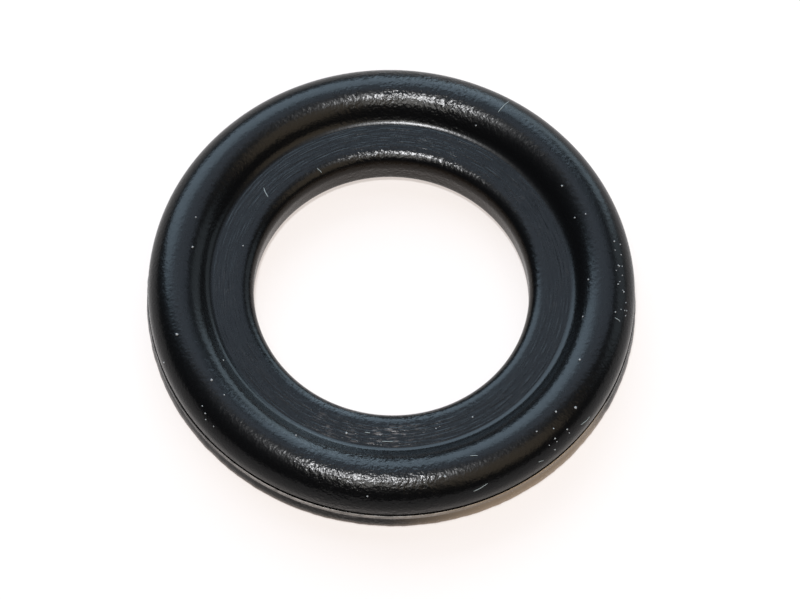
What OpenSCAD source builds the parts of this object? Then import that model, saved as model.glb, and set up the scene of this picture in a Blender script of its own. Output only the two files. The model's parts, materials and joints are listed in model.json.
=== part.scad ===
// Moulded rubber washer for a drain plug.
//
// A flat web with a round bore carries a thick sealing bead round its rim. The bead stands proud
// of the web on the upper face only, and the underside is flat right across. The washer is
// moulded in a two-plate tool: the plates meet at half the height of the web, and the seam
// between them runs round the rim as a thin raised land.
//
// Each part is turned from its section, which is drawn with the radius across and the height up.
// The parts run into one another and make one solid. The washer lies on its flat underside, with
// the origin on its axis in the plane of that face.

/* [Overall] */
// Radius over the seam land, the widest part of the washer
rim_r = 12.4; // [12.38:0.01:12.6]
// Thickness from the flat underside to the crest of the bead
bead_t = 3.2; // [3.2:0.05:3.7]

/* [Bore and web] */
// Radius of the bore, for the shank of the plug
bore_r = 7; // [6:0.05:7.8]
// Thickness of the web, which the head of the plug presses on
web_t = 2.3; // [1.8:0.05:2.5]
// Radius of the rounding on the two edges of the bore
bore_edge_r = 0.75; // [0.2:0.05:0.8]

/* [Bead] */
// Radius of the circle that the crest of the bead stands on
crest_r = 10.8; // [10.7:0.01:10.83]
// Radius of the rounded top of the bead
crest_round = 1.56; // [1.5:0.01:1.59]
// Slope of the inner flank of the bead, from the level of the web
flank_angle = 46.5; // [36:0.5:52]
// Radius of the hollow fillet where the flank meets the web
fillet_r = 0.5; // [0.2:0.05:0.6]

/* [Seam] */
// Height of the land that the seam of the mould leaves round the rim
seam_t = 0.34; // [0.1:0.02:0.6]

/* [Hidden] */
// Facets round the axis, and round each circle of the section
$fn = 90;
arc_fn = 40;

// Radius of the upright side, and the height of the centre of the bead's rounded top
side_r = crest_r + crest_round;
round_z = bead_t - crest_round;
// Height of the middle of the seam
seam_z = web_t / 2;
// Where the straight flank leaves the rounded top
leave = [crest_r - crest_round * sin(flank_angle), round_z + crest_round * cos(flank_angle)];
// Where the flank would meet the web's face if it had no fillet
foot = [leave.x - (leave.y - web_t) / tan(flank_angle), web_t];
// Length of the fillet's tangents, and the points where it touches the face and the flank
tangent_l = fillet_r * tan(flank_angle / 2);
on_face = foot - [tangent_l, 0];
on_flank = foot + tangent_l * [cos(flank_angle), sin(flank_angle)];

// Flat web, from the bore to under the bead, with its two edges at the bore rounded
module web() {
    difference() {
        translate([bore_r, 0]) square([crest_r - bore_r, web_t]);
        for (corner_z = [0, web_t]) difference() {
            translate([bore_r - bore_edge_r, corner_z - bore_edge_r]) square(2 * bore_edge_r);
            translate([bore_r + bore_edge_r, abs(corner_z - bore_edge_r)])
                circle(bore_edge_r, $fn = arc_fn);
        }
    }
}

// Sealing bead: a rounded crest that runs down outside into an upright side, and inside into a
// sloping flank that ends on the web in a hollow fillet
module bead() {
    translate([crest_r, round_z]) circle(crest_round, $fn = arc_fn);
    difference() {
        polygon([[on_face.x, seam_z], on_face, on_flank, leave, [crest_r, round_z], [crest_r, seam_z]]);
        translate(on_face + [0, fillet_r]) circle(fillet_r, $fn = arc_fn);
    }
    translate([crest_r, 0]) square([crest_round, round_z]);
}

// Land that stands out from the side of the bead where the plates of the mould meet
module seam() {
    translate([crest_r, seam_z - seam_t / 2]) square([rim_r - crest_r, seam_t]);
}

// The washer, turned about the axis of the bore
module washer() {
    color([0.035, 0.037, 0.042]) {
        rotate_extrude() web();
        rotate_extrude() bead();
        rotate_extrude() seam();
    }
}

washer();
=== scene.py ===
"""Dresses the drain plug washer: its moulded rubber, the dust on it and the studio that it lies in."""
import json
import math

import bpy
import numpy as np
from bpy.props import FloatProperty, FloatVectorProperty, IntProperty, PointerProperty
from mathutils import Matrix, Vector


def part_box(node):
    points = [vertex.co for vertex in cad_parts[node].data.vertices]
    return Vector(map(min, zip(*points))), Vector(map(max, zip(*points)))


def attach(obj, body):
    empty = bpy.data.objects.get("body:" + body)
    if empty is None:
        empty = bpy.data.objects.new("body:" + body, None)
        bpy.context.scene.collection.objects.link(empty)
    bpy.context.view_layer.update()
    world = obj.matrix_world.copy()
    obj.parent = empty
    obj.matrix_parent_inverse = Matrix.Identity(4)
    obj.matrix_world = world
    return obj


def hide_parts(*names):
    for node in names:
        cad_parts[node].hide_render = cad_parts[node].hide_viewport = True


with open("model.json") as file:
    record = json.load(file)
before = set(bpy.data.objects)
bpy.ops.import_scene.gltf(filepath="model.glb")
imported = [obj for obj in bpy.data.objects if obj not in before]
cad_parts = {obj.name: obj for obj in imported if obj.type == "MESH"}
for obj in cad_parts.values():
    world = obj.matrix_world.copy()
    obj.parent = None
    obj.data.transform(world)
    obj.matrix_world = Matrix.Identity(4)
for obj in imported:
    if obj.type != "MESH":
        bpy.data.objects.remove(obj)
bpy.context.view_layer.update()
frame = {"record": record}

bl_info = {
    "name": "Drain Plug Washer",
    "version": (1, 0, 0),
    "blender": (4, 5, 0),
    "location": "View3D > Sidebar > Washer",
    "description": "Builds a moulded rubber washer for a drain plug, the dust on it and a small studio",
    "category": "Object",
}

MM = 0.001
NODE_LOW, NODE_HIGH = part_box("washer")
MOUNTS = {mount["name"]: mount for mount in frame["record"]["mounts"]}
BORE_RADIUS = MOUNTS["bore"]["dims"]["r_mm"] * MM
WEB_LEVEL = MOUNTS["web_top"]["pos_m"][2]
# How far the wall of the bore stands in from the bore's nominal radius
BORE_SKIN = 0.012 * MM


# ---------------------------------------------------------------- sizes and looks

class WasherSizes(bpy.types.PropertyGroup):
    """Sizes of the moulded section"""
    rim_radius: FloatProperty(
        name="Rim radius", description="Radius over the seam land",
        default=NODE_HIGH[0], unit="LENGTH")
    thickness: FloatProperty(
        name="Thickness", description="Thickness from the underside to the crest of the bead",
        default=NODE_HIGH[2] - NODE_LOW[2], unit="LENGTH")
    bore_radius: FloatProperty(
        name="Bore radius", description="Radius of the straight wall of the bore",
        default=BORE_RADIUS - BORE_SKIN, unit="LENGTH")
    web: FloatProperty(
        name="Web", description="Thickness of the flat web",
        default=WEB_LEVEL, unit="LENGTH")
    bore_edge: FloatProperty(
        name="Bore edge", description="Radius of the rounding on the upper edge of the bore",
        default=0.78 * MM, unit="LENGTH")
    bore_foot: FloatProperty(
        name="Bore foot", description="Radius of the rounding on the lower edge of the bore",
        default=0.68 * MM, unit="LENGTH")
    crest_circle: FloatProperty(
        name="Crest circle", description="Radius of the circle that the crest stands on",
        default=10.8 * MM, unit="LENGTH")
    crest_round: FloatProperty(
        name="Crest rounding", description="Radius of the rounded top of the bead",
        default=1.56 * MM, unit="LENGTH")
    flank_slope: FloatProperty(
        name="Flank slope", description="Slope of the bead's inner flank from the web",
        default=math.radians(46.5), subtype="ANGLE")
    fillet: FloatProperty(
        name="Fillet", description="Radius of the hollow fillet at the foot of the flank",
        default=0.72 * MM, unit="LENGTH")
    seam_height: FloatProperty(
        name="Seam height", description="Height of the solid's seam, centred on half the web's height",
        default=0.34 * MM, unit="LENGTH")
    crease: FloatProperty(
        name="Crease", description="Depth of the fine crease above the land",
        default=0.11 * MM, unit="LENGTH")
    ragged: FloatProperty(
        name="Ragged edge", description="How far the trimmed edge of the land wanders in",
        default=0.022 * MM, unit="LENGTH")
    corner: FloatProperty(
        name="Corner", description="Radius of the corner between the side and the underside",
        default=0.15 * MM, unit="LENGTH")
    swell: FloatProperty(
        name="Swell", description="How far the side under the seam swells out",
        default=0.07 * MM, unit="LENGTH")
    mismatch: FloatProperty(
        name="Mismatch", description="How far the side under the seam is moved toward +X",
        default=0.02 * MM, unit="LENGTH")
    steps_round: IntProperty(
        name="Steps round", description="Rows of faces round the axis", default=512, min=64)


class RubberLook(bpy.types.PropertyGroup):
    """Finish of the rubber"""
    colour: FloatVectorProperty(
        name="Colour", description="Colour of the rubber", subtype="COLOR",
        size=3, default=(0.0010, 0.0010, 0.0011))
    roughness: FloatProperty(
        name="Roughness", description="Roughness of the moulded skin", default=0.26, subtype="FACTOR")
    pebble: FloatProperty(
        name="Pebble", description="Width of the pebbles of the moulded skin",
        default=0.20 * MM, unit="LENGTH")
    pebble_depth: FloatProperty(
        name="Pebble depth", description="Depth of the pebbles", default=0.033 * MM, unit="LENGTH")
    turning: FloatProperty(
        name="Turning marks", description="Spacing of the tool marks on the web",
        default=0.10 * MM, unit="LENGTH")
    turning_depth: FloatProperty(
        name="Turning depth", description="Depth of the tool marks on the web",
        default=0.028 * MM, unit="LENGTH")
    # Painted sheen: a pale warm colour in dashes along the web's tool marks, strongest at the front,
    # stands in for light caught in the marks.
    mark_sheen: FloatVectorProperty(
        name="Film", description="Colour of the fine dust that has settled in the tool marks",
        subtype="COLOR", size=3, default=(0.040, 0.034, 0.031))
    # Painted reflection: this warm tint on the wall of the bore stands in for the cream floor reflected in
    # it.
    wall: FloatVectorProperty(
        name="Bore wall", description="Colour of the wall of the bore", subtype="COLOR",
        size=3, default=(0.0065, 0.0045, 0.0030))
    # Painted reflection: the pale warm foot stands in for the lit floor reflected in the lower edge of the
    # rim.
    foot: FloatVectorProperty(
        name="Foot", description="Colour of the lower edge of the rim", subtype="COLOR",
        size=3, default=(0.13, 0.105, 0.09))
    # Painted reflection: the pale land stands in for the lit floor reflected in the land's face.
    land_reflection: FloatVectorProperty(
        name="Trim", description="Colour of the land where the seam has been trimmed", subtype="COLOR",
        size=3, default=(0.19, 0.175, 0.165))
    # Painted reflection: the tan colour on the lower side at the front right stands in for a brown-lit
    # floor reflected there.
    reflection: FloatVectorProperty(
        name="Bloom", description="Colour of the tan bloom on the lower side at the front right",
        subtype="COLOR", size=3, default=(0.25, 0.185, 0.125))


class DustLook(bpy.types.PropertyGroup):
    """Dust and lint on the rubber"""
    colour: FloatVectorProperty(
        name="Dust", description="Colour of the specks", subtype="COLOR",
        size=3, default=(0.13, 0.13, 0.13))
    lint: FloatVectorProperty(
        name="Lint", description="Colour of the fibres", subtype="COLOR",
        size=3, default=(0.10, 0.11, 0.11))
    speck: FloatProperty(
        name="Speck", description="Width of a speck of size 1", default=0.10 * MM, unit="LENGTH")
    fibre: FloatProperty(
        name="Fibre", description="Radius of the fibres", default=0.022 * MM, unit="LENGTH")


class StudioLook(bpy.types.PropertyGroup):
    """Floor, lights and camera"""
    floor_colour: FloatVectorProperty(
        name="Floor", description="Colour of the floor", subtype="COLOR",
        size=3, default=(0.145, 0.145, 0.145))
    floor_glow: FloatVectorProperty(
        name="Floor glow", description="Light that the floor card passes from below", subtype="COLOR",
        size=3, default=(0.58, 0.52, 0.49))
    lamp_power: FloatProperty(
        name="Lamp", description="Power of the overhead lamp", default=27.0, unit="POWER")
    window_power: FloatProperty(
        name="Window", description="Power of the wide soft light behind", default=40.0, unit="POWER")
    skirt_power: FloatProperty(
        name="Skirt", description="Power of the dim light in front of the lamp", default=4.5, unit="POWER")
    ceiling_power: FloatProperty(
        name="Ceiling", description="Power of the blue light from the ceiling behind", default=6.0,
        unit="POWER")
    side_power: FloatProperty(
        name="Side", description="Power of the dim blue light from the right", default=3.6, unit="POWER")
    wall_power: FloatProperty(
        name="Wall", description="Power of the dim brown light from the right in front", default=5.0,
        unit="POWER")
    low_power: FloatProperty(
        name="Low", description="Power of the low blue light from behind on the right", default=8.5,
        unit="POWER")
    room: FloatProperty(
        name="Room", description="Strength of the dim light from all round", default=0.05)
    view_height: FloatProperty(
        name="View height", description="Angle of the camera above the floor",
        default=math.radians(64.44), subtype="ANGLE")
    view_roll: FloatProperty(
        name="View roll", description="Turn of the camera about its own axis",
        default=math.radians(2.65), subtype="ANGLE")
    view_distance: FloatProperty(
        name="View distance", description="Distance of the camera from the washer",
        default=0.65, unit="LENGTH")


# ---------------------------------------------------------------- shared code

class Field:
    """A socket of a material. Python's operators on it add Math nodes, and call adds any other node."""

    def __init__(self, tree, socket):
        self.tree, self.socket = tree, socket

    def call(self, kind, settings=None, inputs=None, output=0):
        """Adds one node of a type: its settings are set first, then the values or links of its inputs."""
        node = self.tree.nodes.new(kind)
        for name, value in (settings or {}).items():
            setattr(node, name, value)
        for name, value in (inputs or {}).items():
            if isinstance(value, Field):
                self.tree.links.new(value.socket, node.inputs[name])
            else:
                node.inputs[name].default_value = value
        return Field(self.tree, node.outputs[output])

    def out(self, name):
        """Another output of the same node."""
        return Field(self.tree, self.socket.node.outputs[name])

    def math(self, operation, *values):
        """A Math node."""
        return self.call("ShaderNodeMath", {"operation": operation}, dict(enumerate(values)))

    def __add__(self, other):
        return self.math("ADD", self, other)

    def __sub__(self, other):
        return self.math("SUBTRACT", self, other)

    def __mul__(self, other):
        return self.math("MULTIPLY", self, other)

    def __rsub__(self, other):
        return self.math("SUBTRACT", other, self)

    __radd__ = __add__
    __rmul__ = __mul__

    def ramp(self, low, high, to_low=0.0, to_high=1.0):
        """Smooth step: to_low where this is at low, to_high where it is at high, and level beyond."""
        return self.call("ShaderNodeMapRange", {"interpolation_type": "SMOOTHSTEP"}, {
            "Value": self, "From Min": low, "From Max": high, "To Min": to_low, "To Max": to_high})

    def band(self, centre, half, soft):
        """1 within half of centre, and 0 further away than that by soft."""
        return self.math("ABSOLUTE", self - centre).ramp(half + soft, half)


def new_material(name):
    """A material, its tree as a Field, and the node of its Principled BSDF."""
    material = bpy.data.materials.new(name)
    material.use_nodes = True
    tree = material.node_tree
    return material, Field(tree, None), tree.nodes["Principled BSDF"]


def dull_material(name, colour, glow=None):
    """A rough material of one colour, which may also give light."""
    material, _, shader = new_material(name)
    shader.inputs["Base Color"].default_value = (*colour, 1.0)
    shader.inputs["Roughness"].default_value = 0.9
    shader.inputs["Specular IOR Level"].default_value = 0.1
    if glow is not None:
        shader.inputs["Emission Color"].default_value = (*glow, 1.0)
        shader.inputs["Emission Strength"].default_value = 1.0
    return material


def new_piece(name, points, faces, material, smooth=True):
    """An object with a new mesh, from its points, its faces and its one material."""
    mesh = bpy.data.meshes.new(name)
    mesh.from_pydata(points, [], faces)
    mesh.polygons.foreach_set("use_smooth", np.full(len(mesh.polygons), smooth))
    mesh.materials.append(material)
    mesh.update()
    piece = bpy.data.objects.new(name, mesh)
    bpy.context.collection.objects.link(piece)
    return piece


# ---------------------------------------------------------------- section of the washer

# How far the land's upper and lower edges lie under those of the solid's seam
LAND_TOP_DROP, LAND_LOW_DROP = 0.15 * MM, 0.10 * MM
# How far the mouth of the crease reaches above the land
MOUTH = 0.24 * MM
# How far the land's face leans in toward its upper and its lower edge
LEAN = 0.015 * MM
# How far the low step under the land stands out from the side, and reaches down
STEP_OUT, STEP_DOWN = 0.005 * MM, 0.06 * MM
# Level from which the side under the seam is at its widest, down to its corner
SWELL_LEVEL = 0.32 * MM
# Counts of the waves round the rim that the land's trimmed edge follows
RAGGED_WAVES = (7, 11, 17, 29, 41, 67, 97, 139)


def even_turns(count):
    """A whole turn in even steps, in radians, without the last one."""
    return 2 * np.pi * np.arange(count) / count


def arc(centre, radius, start, end, count):
    """Points at even angles on a circle, from start to end in degrees, without the last one."""
    angle = np.radians(start + (end - start) * np.arange(count) / count)
    return np.stack([centre[0] + radius * np.cos(angle), centre[1] + radius * np.sin(angle)], axis=-1)


def line(start, end, count):
    """Points at even steps from start to end, without the last one."""
    share = np.arange(count)[:, None] / count
    return np.asarray(start) + share * (np.asarray(end) - np.asarray(start))


def side_radius(s):
    """Radius of the upright outer side of the bead."""
    return s.crest_circle + s.crest_round


def land_levels(s):
    """Levels of the upper and the lower edge of the land."""
    middle, half = s.web / 2, s.seam_height / 2
    return middle + half - LAND_TOP_DROP, middle - half - LAND_LOW_DROP


def upper_section(s):
    """Upper part of the section, as radius and height, from half way up the bore to the crease:
    straight wall, quarter round, flat web, hollow fillet, sloping flank, rounded crest and side."""
    slope, side = s.flank_slope, side_radius(s)
    degrees = math.degrees(slope)
    straight = s.web - s.bore_edge
    rise = s.thickness - s.crest_round
    leave = np.array([s.crest_circle - s.crest_round * math.sin(slope),
                      rise + s.crest_round * math.cos(slope)])
    foot = leave[0] - (leave[1] - s.web) / math.tan(slope)
    tangent = s.fillet * math.tan(slope / 2)
    start = np.array([foot - tangent, s.web])
    end = np.array([foot + tangent * math.cos(slope), s.web + tangent * math.sin(slope)])
    return np.concatenate([
        line((s.bore_radius, s.web / 2), (s.bore_radius, straight), 5),
        arc((s.bore_radius + s.bore_edge, straight), s.bore_edge, 180, 90, 14),
        line((s.bore_radius + s.bore_edge, s.web), start, 12),
        arc((start[0], s.web + s.fillet), s.fillet, -90, degrees - 90, 10),
        line(end, leave, 6),
        arc((s.crest_circle, rise), s.crest_round, 90 + degrees, 0, 36),
        line((side, rise), (side, land_levels(s)[0] + MOUTH), 4),
    ])


def seam_section(s):
    """The seam from above to below: the crease, whose roof slopes in and down from its mouth and
    whose floor rises out of it to the land, and the land's trimmed face, down to the low step."""
    side, rim = side_radius(s), s.rim_radius
    top, low = land_levels(s)
    return np.array([
        # Roof of the crease, from its mouth to its deepest point
        (side, top + MOUTH), (side - 0.01 * MM, top + 0.20 * MM),
        (side - 0.6 * s.crease, top + 0.05 * MM), (side - s.crease, top - 0.07 * MM),
        # Floor of the crease, out to the land
        (side - 0.8 * s.crease, top - 0.09 * MM), (side - 0.2 * s.crease, top - 0.03 * MM),
        # Face of the land, and the low step
        (rim - LEAN, top), (rim, top - 0.04 * MM), (rim, (top + low) / 2), (rim - LEAN, low),
        (side + 2 * STEP_OUT, low - STEP_DOWN / 2)])


def lower_section(s):
    """Lower part of the section, from under the seam. The side swells by a square law from the step
    to SWELL_LEVEL, and runs down in a small quarter round to the flat underside, which ends in
    a quarter round and the wall of the bore up to half its height."""
    side = side_radius(s)
    top, widest = land_levels(s)[1] - STEP_DOWN, side + s.swell
    level = top + (SWELL_LEVEL - top) * np.arange(8) / 8
    share = (level - SWELL_LEVEL) / (top - SWELL_LEVEL)
    return np.concatenate([
        np.stack([widest - (s.swell - STEP_OUT) * share ** 2, level], axis=-1),
        line((widest, SWELL_LEVEL), (widest, s.corner), 3),
        arc((widest - s.corner, s.corner), s.corner, 0, -90, 8),
        line((widest - s.corner, 0), (s.bore_radius + s.bore_foot, 0), 16),
        arc((s.bore_radius + s.bore_foot, s.bore_foot), s.bore_foot, -90, -180, 14),
        line((s.bore_radius, s.bore_foot), (s.bore_radius, s.web / 2), 5)])


def ragged_edge(s, turn):
    """How far the land's edge wanders in at each turn: a sum of waves round the rim, of seeded
    height and phase, kept between 0 and 1.6 times the size ragged."""
    rng = np.random.default_rng(7)
    waves = sum(rng.uniform(0.3, 1.0) * np.sin(count * turn + rng.uniform(0, 2 * np.pi))
                for count in RAGGED_WAVES)
    return s.ragged * np.clip(0.5 + 0.35 * waves, 0, 1.6)


def turned_surface(s):
    """The section carried round the axis. Point (i, j) is section point j turned through i steps.
    What stands proud of the upright side, which is the land and the swell under it, wanders in with
    the ragged edge. All under the seam is moved toward +X, less and less toward the bore, as the
    two plates of the mould don't quite meet."""
    upper, seam, lower = upper_section(s), seam_section(s), lower_section(s)
    section, side = np.concatenate([upper, seam, lower]), side_radius(s)
    turn = even_turns(s.steps_round)
    proud = np.clip((section[:, 0] - side) / (s.rim_radius - side), 0, 1)
    radius = section[None, :, 0] - ragged_edge(s, turn)[:, None] * proud[None, :]
    under = np.arange(len(section)) >= len(upper) + len(seam) - 1
    moved = s.mismatch * under * np.clip((section[:, 0] - s.bore_radius) / (side - s.bore_radius), 0, 1)
    height = np.broadcast_to(section[:, 1], radius.shape)
    return np.stack([radius * np.cos(turn)[:, None] + moved[None, :],
                     radius * np.sin(turn)[:, None], height], axis=-1)


def closed_grid(name, points, material):
    """A piece from points[i, j], closed in both directions. Face (i, j) runs from row i to row i + 1
    and from column j to column j + 1, so it faces the side that columns x rows points to."""
    rows, columns = points.shape[:2]
    i, j = np.meshgrid(np.arange(rows), np.arange(columns), indexing="ij")
    i_next, j_next = (i + 1) % rows, (j + 1) % columns
    corners = np.stack([i * columns + j, i * columns + j_next,
                        i_next * columns + j_next, i_next * columns + j], axis=-1)
    return new_piece(name, points.reshape(-1, 3), corners.reshape(-1, 4), material)


# ---------------------------------------------------------------- rubber

# Specular level of the rubber: it reflects about a quarter of what it would at the usual 0.5
RUBBER_SHINE = 0.14
# Width of the patches in which the pebbles are deeper or shallower, and the painted sheen in the tool
# marks stronger or weaker
PATCH = 1.4 * MM
# How far inside the crest circle the web's marks end and the smooth skin of the fillet begins
FILLET_INSET = 1.75 * MM
# How far the colours of the side, the crease and the land run into one another
SOFT_EDGE = 0.02 * MM
# Directions in degrees from +X in which the painted sheen in the tool marks and the painted reflection on
# the land's trimmed face are palest
MARK_SHEEN_HEADING, LAND_REFLECTION_HEADING = 263, 258
# Direction in which the painted tan reflection is strongest, and the one that it keeps near, which
# ends it sharply on the right
REFLECTION_HEADING, REFLECTION_LIMIT = 318, 290


def noise(at, where, grain, detail=2.0, rough=0.5):
    """Noise with lumps of about the width grain, in metres."""
    return at.call("ShaderNodeTexNoise", None, {
        "Vector": where, "Scale": 1.0 / grain, "Detail": detail, "Roughness": rough})


class Spot:
    """A point of the rubber, as Fields: where it is, and for each part of the washer a mask, which is
    1 on that part and 0 off it, with soft edges."""

    def __init__(self, at, sizes):
        self.at = at
        self.place = at.call("ShaderNodeTexCoord", output="Object")
        split = at.call("ShaderNodeSeparateXYZ", None, {0: self.place})
        self.across, self.along, self.level = split.out("X"), split.out("Y"), split.out("Z")
        flat = at.call("ShaderNodeCombineXYZ", None, {0: self.across, 1: self.along})
        self.radius = at.call(
            "ShaderNodeVectorMath", {"operation": "LENGTH"}, {0: flat}, output="Value")
        self.outward = at.call("ShaderNodeVectorMath", {"operation": "NORMALIZE"}, {0: flat})
        self.patches = noise(at, self.place, PATCH, detail=1.0)

        web_start, web_end = sizes.bore_radius + sizes.bore_edge, sizes.crest_circle - FILLET_INSET
        # Widths of the soft edges
        narrow, wide = 0.05 * MM, 0.2 * MM
        self.in_fillet = self.radius.band(web_end + 2 * narrow, 2 * narrow, 0.18 * MM)
        self.on_web = self.radius.ramp(web_end + narrow, web_end - narrow) * self.radius.ramp(
            web_start - narrow, web_start + wide) * self.level.ramp(sizes.web / 2, sizes.web - wide)
        self.in_bore = self.radius.ramp(
            sizes.bore_radius + narrow + wide, sizes.bore_radius + narrow)
        side, (land_top, land_low) = side_radius(sizes), land_levels(sizes)
        self.below_crease = self.radius.ramp(side - 0.015 * MM, side + 0.005 * MM) * self.level.ramp(
            land_top + SOFT_EDGE, land_top - SOFT_EDGE)
        self.on_land = self.below_crease * self.level.ramp(land_low - 0.07 * MM, land_low + SOFT_EDGE)

    def facing(self, degrees):
        """Cosine of the angle round the axis between the spot and a direction in degrees from +X."""
        turn = math.radians(degrees)
        return self.at.call("ShaderNodeVectorMath", {"operation": "DOT_PRODUCT"}, {
            0: self.outward, 1: (math.cos(turn), math.sin(turn), 0.0)}, output="Value")

    def ring_noise(self, stretch, grain):
        """Noise drawn out round the axis: its lumps are as wide as grain along the radius, and each
        turn of one radian round the axis crosses a length of stretch."""
        ring = self.at.call(
            "ShaderNodeVectorMath", {"operation": "SCALE"}, {0: self.outward, "Scale": stretch})
        rise = self.at.call("ShaderNodeCombineXYZ", None, {2: self.radius})
        where = self.at.call("ShaderNodeVectorMath", {"operation": "ADD"}, {0: ring, 1: rise})
        return noise(self.at, where, grain, detail=1.0)


def skin(spot, look):
    """Height and roughness of the skin. The pebbles are deeper toward the front, in a broad strip
    down the middle and in patches, and faint in the fillet. The web has turning marks, copied from
    the tool, and its pebbles are half as deep."""
    pebbles = noise(spot.at, spot.place, look.pebble, detail=1.5, rough=0.6)
    marks = spot.ring_noise(0.6 * MM, look.turning)
    to_front = spot.along.ramp(6.0 * MM, -9.0 * MM, 1.1, 1.3)
    strip = (spot.across - 0.082 * spot.along).band(0.0, 1.4 * MM, 3.6 * MM)
    share = to_front * (0.33 + 0.67 * strip) * (1.0 - spot.in_fillet * 0.8) * (
        1.0 - spot.on_web * 0.5) * spot.patches.ramp(0.3, 0.65, 0.7, 1.15)
    height = pebbles * share * look.pebble_depth + marks * spot.on_web * look.turning_depth
    roughness = look.roughness + (pebbles - 0.5) * 0.10 + (marks - 0.5) * spot.on_web * 0.12
    return height, roughness


def mark_sheen_share(spot):
    """Share of the painted sheen: dashes along the tool marks at the front of the web, in patches."""
    dashes = spot.ring_noise(1.5 * MM, 0.08 * MM).ramp(0.52, 0.74)
    return dashes * spot.on_web * spot.facing(MARK_SHEEN_HEADING).ramp(
        0.92, 0.995, 0.08, 1.0) * spot.patches.ramp(0.42, 0.62, 0.15, 1.0)


def land_reflection_share(spot):
    """Share of the painted reflection on the land's trimmed face: strongest at the front, and blotched."""
    return spot.on_land * spot.facing(LAND_REFLECTION_HEADING).ramp(0.75, 0.97, 0.15, 1.0) * noise(
        spot.at, spot.place, 0.5 * MM).ramp(0.3, 0.6, 0.5, 1.0)


def reflection_share(spot):
    """Share of the painted tan reflection: at the front right below the crease, and a little less higher
    up.
    """
    return spot.below_crease * spot.facing(REFLECTION_HEADING).ramp(0.66, 0.99) * spot.facing(
        REFLECTION_LIMIT).ramp(0.70, 0.82) * spot.level.ramp(0.1 * MM, 0.7 * MM, 1.0, 0.6)


def rubber_material(look, sizes):
    """Nearly black satin rubber. Its skin is bump, and shades the roughness a little. Over its colour
    are mixed a painted sheen in the web's tool marks and painted reflections of the floor on the wall of
    the bore, the pale foot, the land's trimmed face and a tan patch at the front right."""
    material, at, shader = new_material("moulded_rubber")
    spot = Spot(at, sizes)
    height, roughness = skin(spot, look)
    bump = at.call("ShaderNodeBump", None, {"Height": height, "Distance": 1.0, "Strength": 1.0})
    # Painted reflection of the floor, palest at the foot of the side below the crease
    foot_reflection_share = spot.below_crease * spot.level.ramp(0.45 * MM, 0.05 * MM)
    colour = (*look.colour, 1.0)
    # All tones mixed here over the rubber's colour are painted light: sheen in the tool marks, and
    # reflections of the floor.
    for share, tone in ((mark_sheen_share(spot), look.mark_sheen), (spot.in_bore, look.wall),
                        (foot_reflection_share, look.foot), (land_reflection_share(spot), look.land_reflection),
                        (reflection_share(spot), look.reflection)):
        colour = at.call("ShaderNodeMix", {"data_type": "RGBA"}, {
            "Factor": share, 6: colour, 7: (*tone, 1.0)}, output=2)
    at.tree.links.new(colour.socket, shader.inputs["Base Color"])
    at.tree.links.new(roughness.socket, shader.inputs["Roughness"])
    at.tree.links.new(bump.socket, shader.inputs["Normal"])
    shader.inputs["Specular IOR Level"].default_value = RUBBER_SHINE
    return material


class WASHER_OT_rubber(bpy.types.Operator):
    """Turns the moulded washer from its section, with its pebbled rubber skin"""
    bl_idname = "washer.rubber"
    bl_label = "Moulded Rubber"

    def execute(self, context):
        sizes, look = context.scene.washer_sizes, context.scene.washer_rubber
        piece = closed_grid("washer_rubber", turned_surface(sizes), rubber_material(look, sizes))
        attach(piece, "root")
        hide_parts("washer")
        return {"FINISHED"}


# ---------------------------------------------------------------- dust and lint

# Clear specks: degrees round the axis from +X, millimetres from the axis, and relative size
SPECKS = (
    (3, 9.95, 0.85), (23, 10.5, 0.85), (23.5, 9.95, 0.9), (34, 10.15, 1.1), (66.5, 9.8, 0.85),
    (164, 10.5, 0.9), (166.5, 7.85, 0.85), (173, 10.25, 1.2), (199, 11.35, 1.6), (203, 12.3, 1.3),
    (210, 9.6, 0.85), (215, 10.8, 1.3), (220.5, 10.75, 0.85), (243.5, 10.0, 1.1), (257, 8.6, 1.3),
    (266.5, 12.0, 0.9), (279, 11.35, 0.8), (286, 11.35, 1.3), (288, 8.3, 0.8), (301.5, 8.4, 0.85),
    (313, 11.2, 0.85), (317, 11.6, 0.85), (320.5, 11.1, 1.2), (325, 11.65, 1.6), (337, 10.5, 1.2),
    (351, 9.85, 0.85))
# Drifts of fine specks: the middle in degrees and millimetres, the spread in both, and the count
DRIFTS = ((3, 11.7, 11, 0.34, 19), (317, 12.1, 3.5, 0.15, 6), (222, 12.05, 3.5, 0.18, 4))
# Latitudes in degrees of the rings of a speck, and the points on each ring
SPECK_RINGS, SPECK_POINTS = (-54.0, -18.0, 18.0, 54.0), 7
# Height of a speck as a share of its width, and the lift of its middle over the rubber as a share
# of half its width
SPECK_FLATNESS, SPECK_LIFT = 0.8, 0.3
# The two ends of each fibre, as degrees and millimetres, and its bow in millimetres
FIBRES = (
    (62.5, 10.8, 62, 11.85, 0.04), (122.5, 7.6, 121.5, 7.3, 0.0), (142.5, 8.5, 144.5, 7.95, 0.05),
    (263, 8.35, 265, 8.35, 0.0), (269, 8.75, 273, 8.75, 0.0), (292, 12.2, 296, 12.1, 0.02),
    (294, 10.65, 296, 10.8, 0.0), (309.5, 12.25, 311, 12.3, 0.0), (323.5, 12.25, 327, 12.3, 0.02),
    (352, 11.45, 351.5, 11.75, 0.08))
# Rows along a fibre from end to end, and the points on each ring
FIBRE_ROWS, FIBRE_POINTS = 14, 6


def on_rubber(sizes, degrees, radius):
    """Points on the upper face of the washer, at angles in degrees and distances from the axis."""
    section = upper_section(sizes)
    turn = np.radians(degrees)
    return np.stack([radius * np.cos(turn), radius * np.sin(turn),
                     np.interp(radius, section[:, 0], section[:, 1])], axis=-1)


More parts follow.
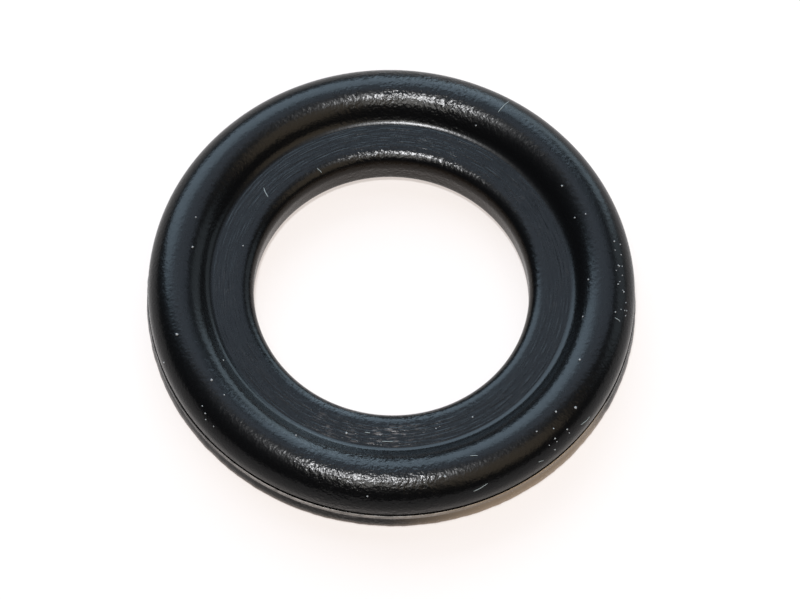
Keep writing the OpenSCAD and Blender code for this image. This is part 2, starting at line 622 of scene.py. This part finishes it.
def closed_tubes(name, rings, ends, material):
    """One piece of many closed tubes: rings[n, i, j] is point j of ring i of tube n, and ends[n] are
    the two points that close it. The rings turn anticlockwise seen from the second end."""
    count, rows, columns = rings.shape[:3]
    points = np.concatenate([rings.reshape(count, -1, 3), ends], axis=1)
    i, j = np.meshgrid(np.arange(rows - 1), np.arange(columns), indexing="ij")
    j_next = (j + 1) % columns
    walls = np.stack([i * columns + j, i * columns + j_next,
                      (i + 1) * columns + j_next, (i + 1) * columns + j], axis=-1).reshape(-1, 4)
    j, j_next, last = j[0], j_next[0], (rows - 1) * columns
    first_cap = np.stack([np.full(columns, rows * columns), j_next, j], axis=-1)
    last_cap = np.stack([np.full(columns, rows * columns + 1), last + j, last + j_next], axis=-1)
    offset = np.arange(count)[:, None, None] * points.shape[1]
    faces = []
    for group in (walls, first_cap, last_cap):
        faces += (group + offset).reshape(-1, group.shape[1]).tolist()
    return new_piece(name, points.reshape(-1, 3), faces, material)


def speck_tubes(look, sizes):
    """Specks: flattened balls of rings between two poles, dented by a seeded share at each point.
    A ring stands at the sine of its latitude, and is as wide as its cosine. The fine specks are
    drawn evenly within the spread of each drift."""
    rng = np.random.default_rng(11)
    drift = np.repeat(np.array(DRIFTS), [row[-1] for row in DRIFTS], axis=0)
    fine = drift[:, :2] + drift[:, 2:4] * rng.uniform(-1, 1, (len(drift), 2))
    fine_size = rng.uniform(0.6, 1.0, len(fine))
    place = np.concatenate([SPECKS, np.column_stack([fine, fine_size])])
    dent = rng.uniform(0.7, 1.25, (len(place), len(SPECK_RINGS), SPECK_POINTS, 1))

    half = look.speck / 2 * place[:, 2]
    middle = on_rubber(sizes, place[:, 0], place[:, 1] * MM)
    middle += np.array([0, 0, SPECK_LIFT]) * half[:, None]
    latitude, turn = np.radians(SPECK_RINGS)[:, None], even_turns(SPECK_POINTS)
    ball = np.stack(np.broadcast_arrays(
        np.cos(latitude) * np.cos(turn), np.cos(latitude) * np.sin(turn),
        SPECK_FLATNESS * np.sin(latitude)), axis=-1)
    poles = np.array([[0, 0, -SPECK_FLATNESS], [0, 0, SPECK_FLATNESS]])
    rings = middle[:, None, None] + half[:, None, None, None] * ball * dent
    return rings, middle[:, None] + half[:, None, None] * poles


def fibre_tubes(look, sizes):
    """Fibres: tubes round a line on the rubber from end to end, which bows outward and lifts in the
    middle by half a wave, and thins toward both ends."""
    ends = np.array(FIBRES)
    share = np.linspace(0, 1, FIBRE_ROWS)
    wave = np.sin(np.pi * share)
    degrees = ends[:, 0:1] + share * (ends[:, 2:3] - ends[:, 0:1])
    radius = (ends[:, 1:2] + share * (ends[:, 3:4] - ends[:, 1:2]) + ends[:, 4:5] * wave) * MM
    path = on_rubber(sizes, degrees, radius)
    path[..., 2] += look.fibre * (0.6 + 0.8 * wave)
    ahead = np.gradient(path, axis=1)
    ahead /= np.linalg.norm(ahead, axis=-1, keepdims=True)
    across = np.cross(np.array([0, 0, 1.0]), ahead)
    across /= np.linalg.norm(across, axis=-1, keepdims=True)
    up = np.cross(ahead, across)
    turn = even_turns(FIBRE_POINTS)[:, None]
    thick = (look.fibre * np.clip(wave * 3, 0.3, 1))[:, None, None]
    tube = path[:, :, None] + thick * (
        np.cos(turn) * across[:, :, None] + np.sin(turn) * up[:, :, None])
    return tube[:, 1:-1], path[:, [0, -1]]


class WASHER_OT_dust(bpy.types.Operator):
    """Scatters the specks of dust over the bead and the web"""
    bl_idname = "washer.dust"
    bl_label = "Dust Specks"

    def execute(self, context):
        sizes, look = context.scene.washer_sizes, context.scene.washer_dust
        piece = closed_tubes("dust_specks", *speck_tubes(look, sizes), dull_material("dust", look.colour))
        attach(piece, "root")
        return {"FINISHED"}


class WASHER_OT_lint(bpy.types.Operator):
    """Lays the short fibres of lint on the bead and the web"""
    bl_idname = "washer.lint"
    bl_label = "Lint Fibres"

    def execute(self, context):
        sizes, look = context.scene.washer_sizes, context.scene.washer_dust
        piece = closed_tubes("lint_fibres", *fibre_tubes(look, sizes), dull_material("lint", look.lint))
        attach(piece, "root")
        return {"FINISHED"}


# ---------------------------------------------------------------- studio

# Half the width of the floor, and how far it lies under the washer, so that their faces don't meet
FLOOR_HALF, FLOOR_DROP = 1.5, 0.02 * MM
# Each light: the azimuth and height of its direction in degrees, its distance, its colour, and its
# width and depth. The lamp is a disk, and has no depth.
LIGHTS = {
    "lamp": (-107, 80.5, 1.2, (0.97, 0.98, 1.0), 0.14, None),
    "skirt": (-95, 60, 1.2, (1.0, 0.98, 0.92), 0.35, 0.25),
    "window": (110, 35, 1.3, (0.62, 0.82, 1.0), 1.7, 0.85),
    "ceiling": (90, 66, 1.3, (0.66, 0.80, 1.0), 1.6, 0.33),
    "side": (28, 22, 1.3, (0.75, 0.90, 1.0), 0.9, 0.7),
    "wall": (-38, 49, 1.2, (1.0, 0.80, 0.55), 0.8, 0.8),
    "low": (66, 15, 1.3, (0.66, 0.86, 1.0), 0.9, 0.5),
}
ROOM_COLOUR = (0.85, 0.93, 1.0, 1.0)
# How far right of the washer's middle and below it the camera aims
AIM_RIGHT, AIM_BELOW = 0.443 * MM, 0.222 * MM
# Width of the picture, and how many of its pixels cover a metre at the washer
FRAME_WIDTH, PIXELS_PER_METRE = 800, 19690
SENSOR_WIDTH_MM = 36.0


def lay_floor(look):
    """The floor, a square card of one face"""
    half, level = FLOOR_HALF, -FLOOR_DROP
    corners = [(-half, -half, level), (half, -half, level), (half, half, level), (-half, half, level)]
    card = dull_material("floor_card", look.floor_colour, look.floor_glow)
    return new_piece("floor", corners, [(0, 1, 2, 3)], card, smooth=False)


def toward(azimuth, height, distance):
    """The point at a distance from the origin, at angles in degrees from +X and above the floor."""
    a, h = math.radians(azimuth), math.radians(height)
    return Vector((distance * math.cos(h) * math.cos(a), distance * math.cos(h) * math.sin(a),
                   distance * math.sin(h)))


def hang_light(name, power):
    """Hangs one area light of the table, turned to face the origin."""
    azimuth, height, distance, colour, width, depth = LIGHTS[name]
    data = bpy.data.lights.new(name, "AREA")
    data.energy, data.color, data.size = power, colour, width
    if depth is None:
        data.shape = "DISK"
    else:
        data.shape = "RECTANGLE"
        data.size_y = depth
    light = bpy.data.objects.new(name, data)
    light.location = toward(azimuth, height, distance)
    light.rotation_euler = (-light.location).to_track_quat("-Z", "Y").to_euler()
    bpy.context.collection.objects.link(light)


def light_room(look):
    """Sets the dim light from all round."""
    world = bpy.data.worlds.new("room")
    world.use_nodes = True
    backdrop = world.node_tree.nodes["Background"]
    backdrop.inputs["Color"].default_value = ROOM_COLOUR
    backdrop.inputs["Strength"].default_value = look.room
    bpy.context.scene.world = world


def set_camera(look, middle):
    """Sets up a long lens over the near side, rolled a little, with the washer just left of the middle and
    above it. The lens gives PIXELS_PER_METRE at the camera's distance."""
    ahead = Vector((0, math.cos(look.view_height), -math.sin(look.view_height)))
    right = Vector((1, 0, 0))
    above = right.cross(ahead)
    c, s = math.cos(look.view_roll), math.sin(look.view_roll)
    right, above = c * right + s * above, c * above - s * right
    aim = middle + AIM_RIGHT * right - AIM_BELOW * above
    data = bpy.data.cameras.new("camera")
    data.sensor_width = SENSOR_WIDTH_MM
    data.lens = PIXELS_PER_METRE * look.view_distance / FRAME_WIDTH * data.sensor_width
    camera = bpy.data.objects.new("camera", data)
    camera.matrix_world = Matrix.Translation(aim - look.view_distance * ahead) @ Matrix(
        (right, above, -ahead)).transposed().to_4x4()
    bpy.context.collection.objects.link(camera)
    bpy.context.scene.camera = camera


class WASHER_OT_studio(bpy.types.Operator):
    """Lays the pale floor, hangs the lights and sets up the camera"""
    bl_idname = "washer.studio"
    bl_label = "Studio"

    def execute(self, context):
        look, sizes = context.scene.washer_studio, context.scene.washer_sizes
        floor = lay_floor(look)
        for name in LIGHTS:
            hang_light(name, getattr(look, name + "_power"))
        light_room(look)
        set_camera(look, Vector((0, 0, sizes.web / 2)))
        context.scene.view_settings.view_transform = "Standard"
        return {"FINISHED"}


# ---------------------------------------------------------------- panel and main

OPERATORS = (WASHER_OT_rubber, WASHER_OT_dust, WASHER_OT_lint, WASHER_OT_studio)
GROUPS = {"washer_sizes": WasherSizes, "washer_rubber": RubberLook, "washer_dust": DustLook,
          "washer_studio": StudioLook}


class WASHER_PT_parts(bpy.types.Panel):
    """Lists the sizes and looks, and the operators that make the washer and its studio"""
    bl_idname = "WASHER_PT_parts"
    bl_label = "Drain Plug Washer"
    bl_space_type = "VIEW_3D"
    bl_region_type = "UI"
    bl_category = "Washer"

    def draw(self, context):
        for name in GROUPS:
            group = getattr(context.scene, name)
            box = self.layout.box()
            for prop in group.__annotations__:
                box.prop(group, prop)
        for operator in OPERATORS:
            self.layout.operator(operator.bl_idname)


def register():
    """Registers the groups, the operators and the panel, and gives each scene its groups."""
    for cls in (*GROUPS.values(), *OPERATORS, WASHER_PT_parts):
        bpy.utils.register_class(cls)
    for name, group in GROUPS.items():
        setattr(bpy.types.Scene, name, PointerProperty(type=group))


def unregister():
    """Takes away what register added, in the opposite order."""
    for name in GROUPS:
        delattr(bpy.types.Scene, name)
    for cls in (WASHER_PT_parts, *OPERATORS, *GROUPS.values()):
        bpy.utils.unregister_class(cls)


def main():
    """Makes the washer, its dust and its studio."""
    register()
    bpy.ops.washer.rubber()
    bpy.ops.washer.dust()
    bpy.ops.washer.lint()
    bpy.ops.washer.studio()


if __name__ == "__main__":
    main()
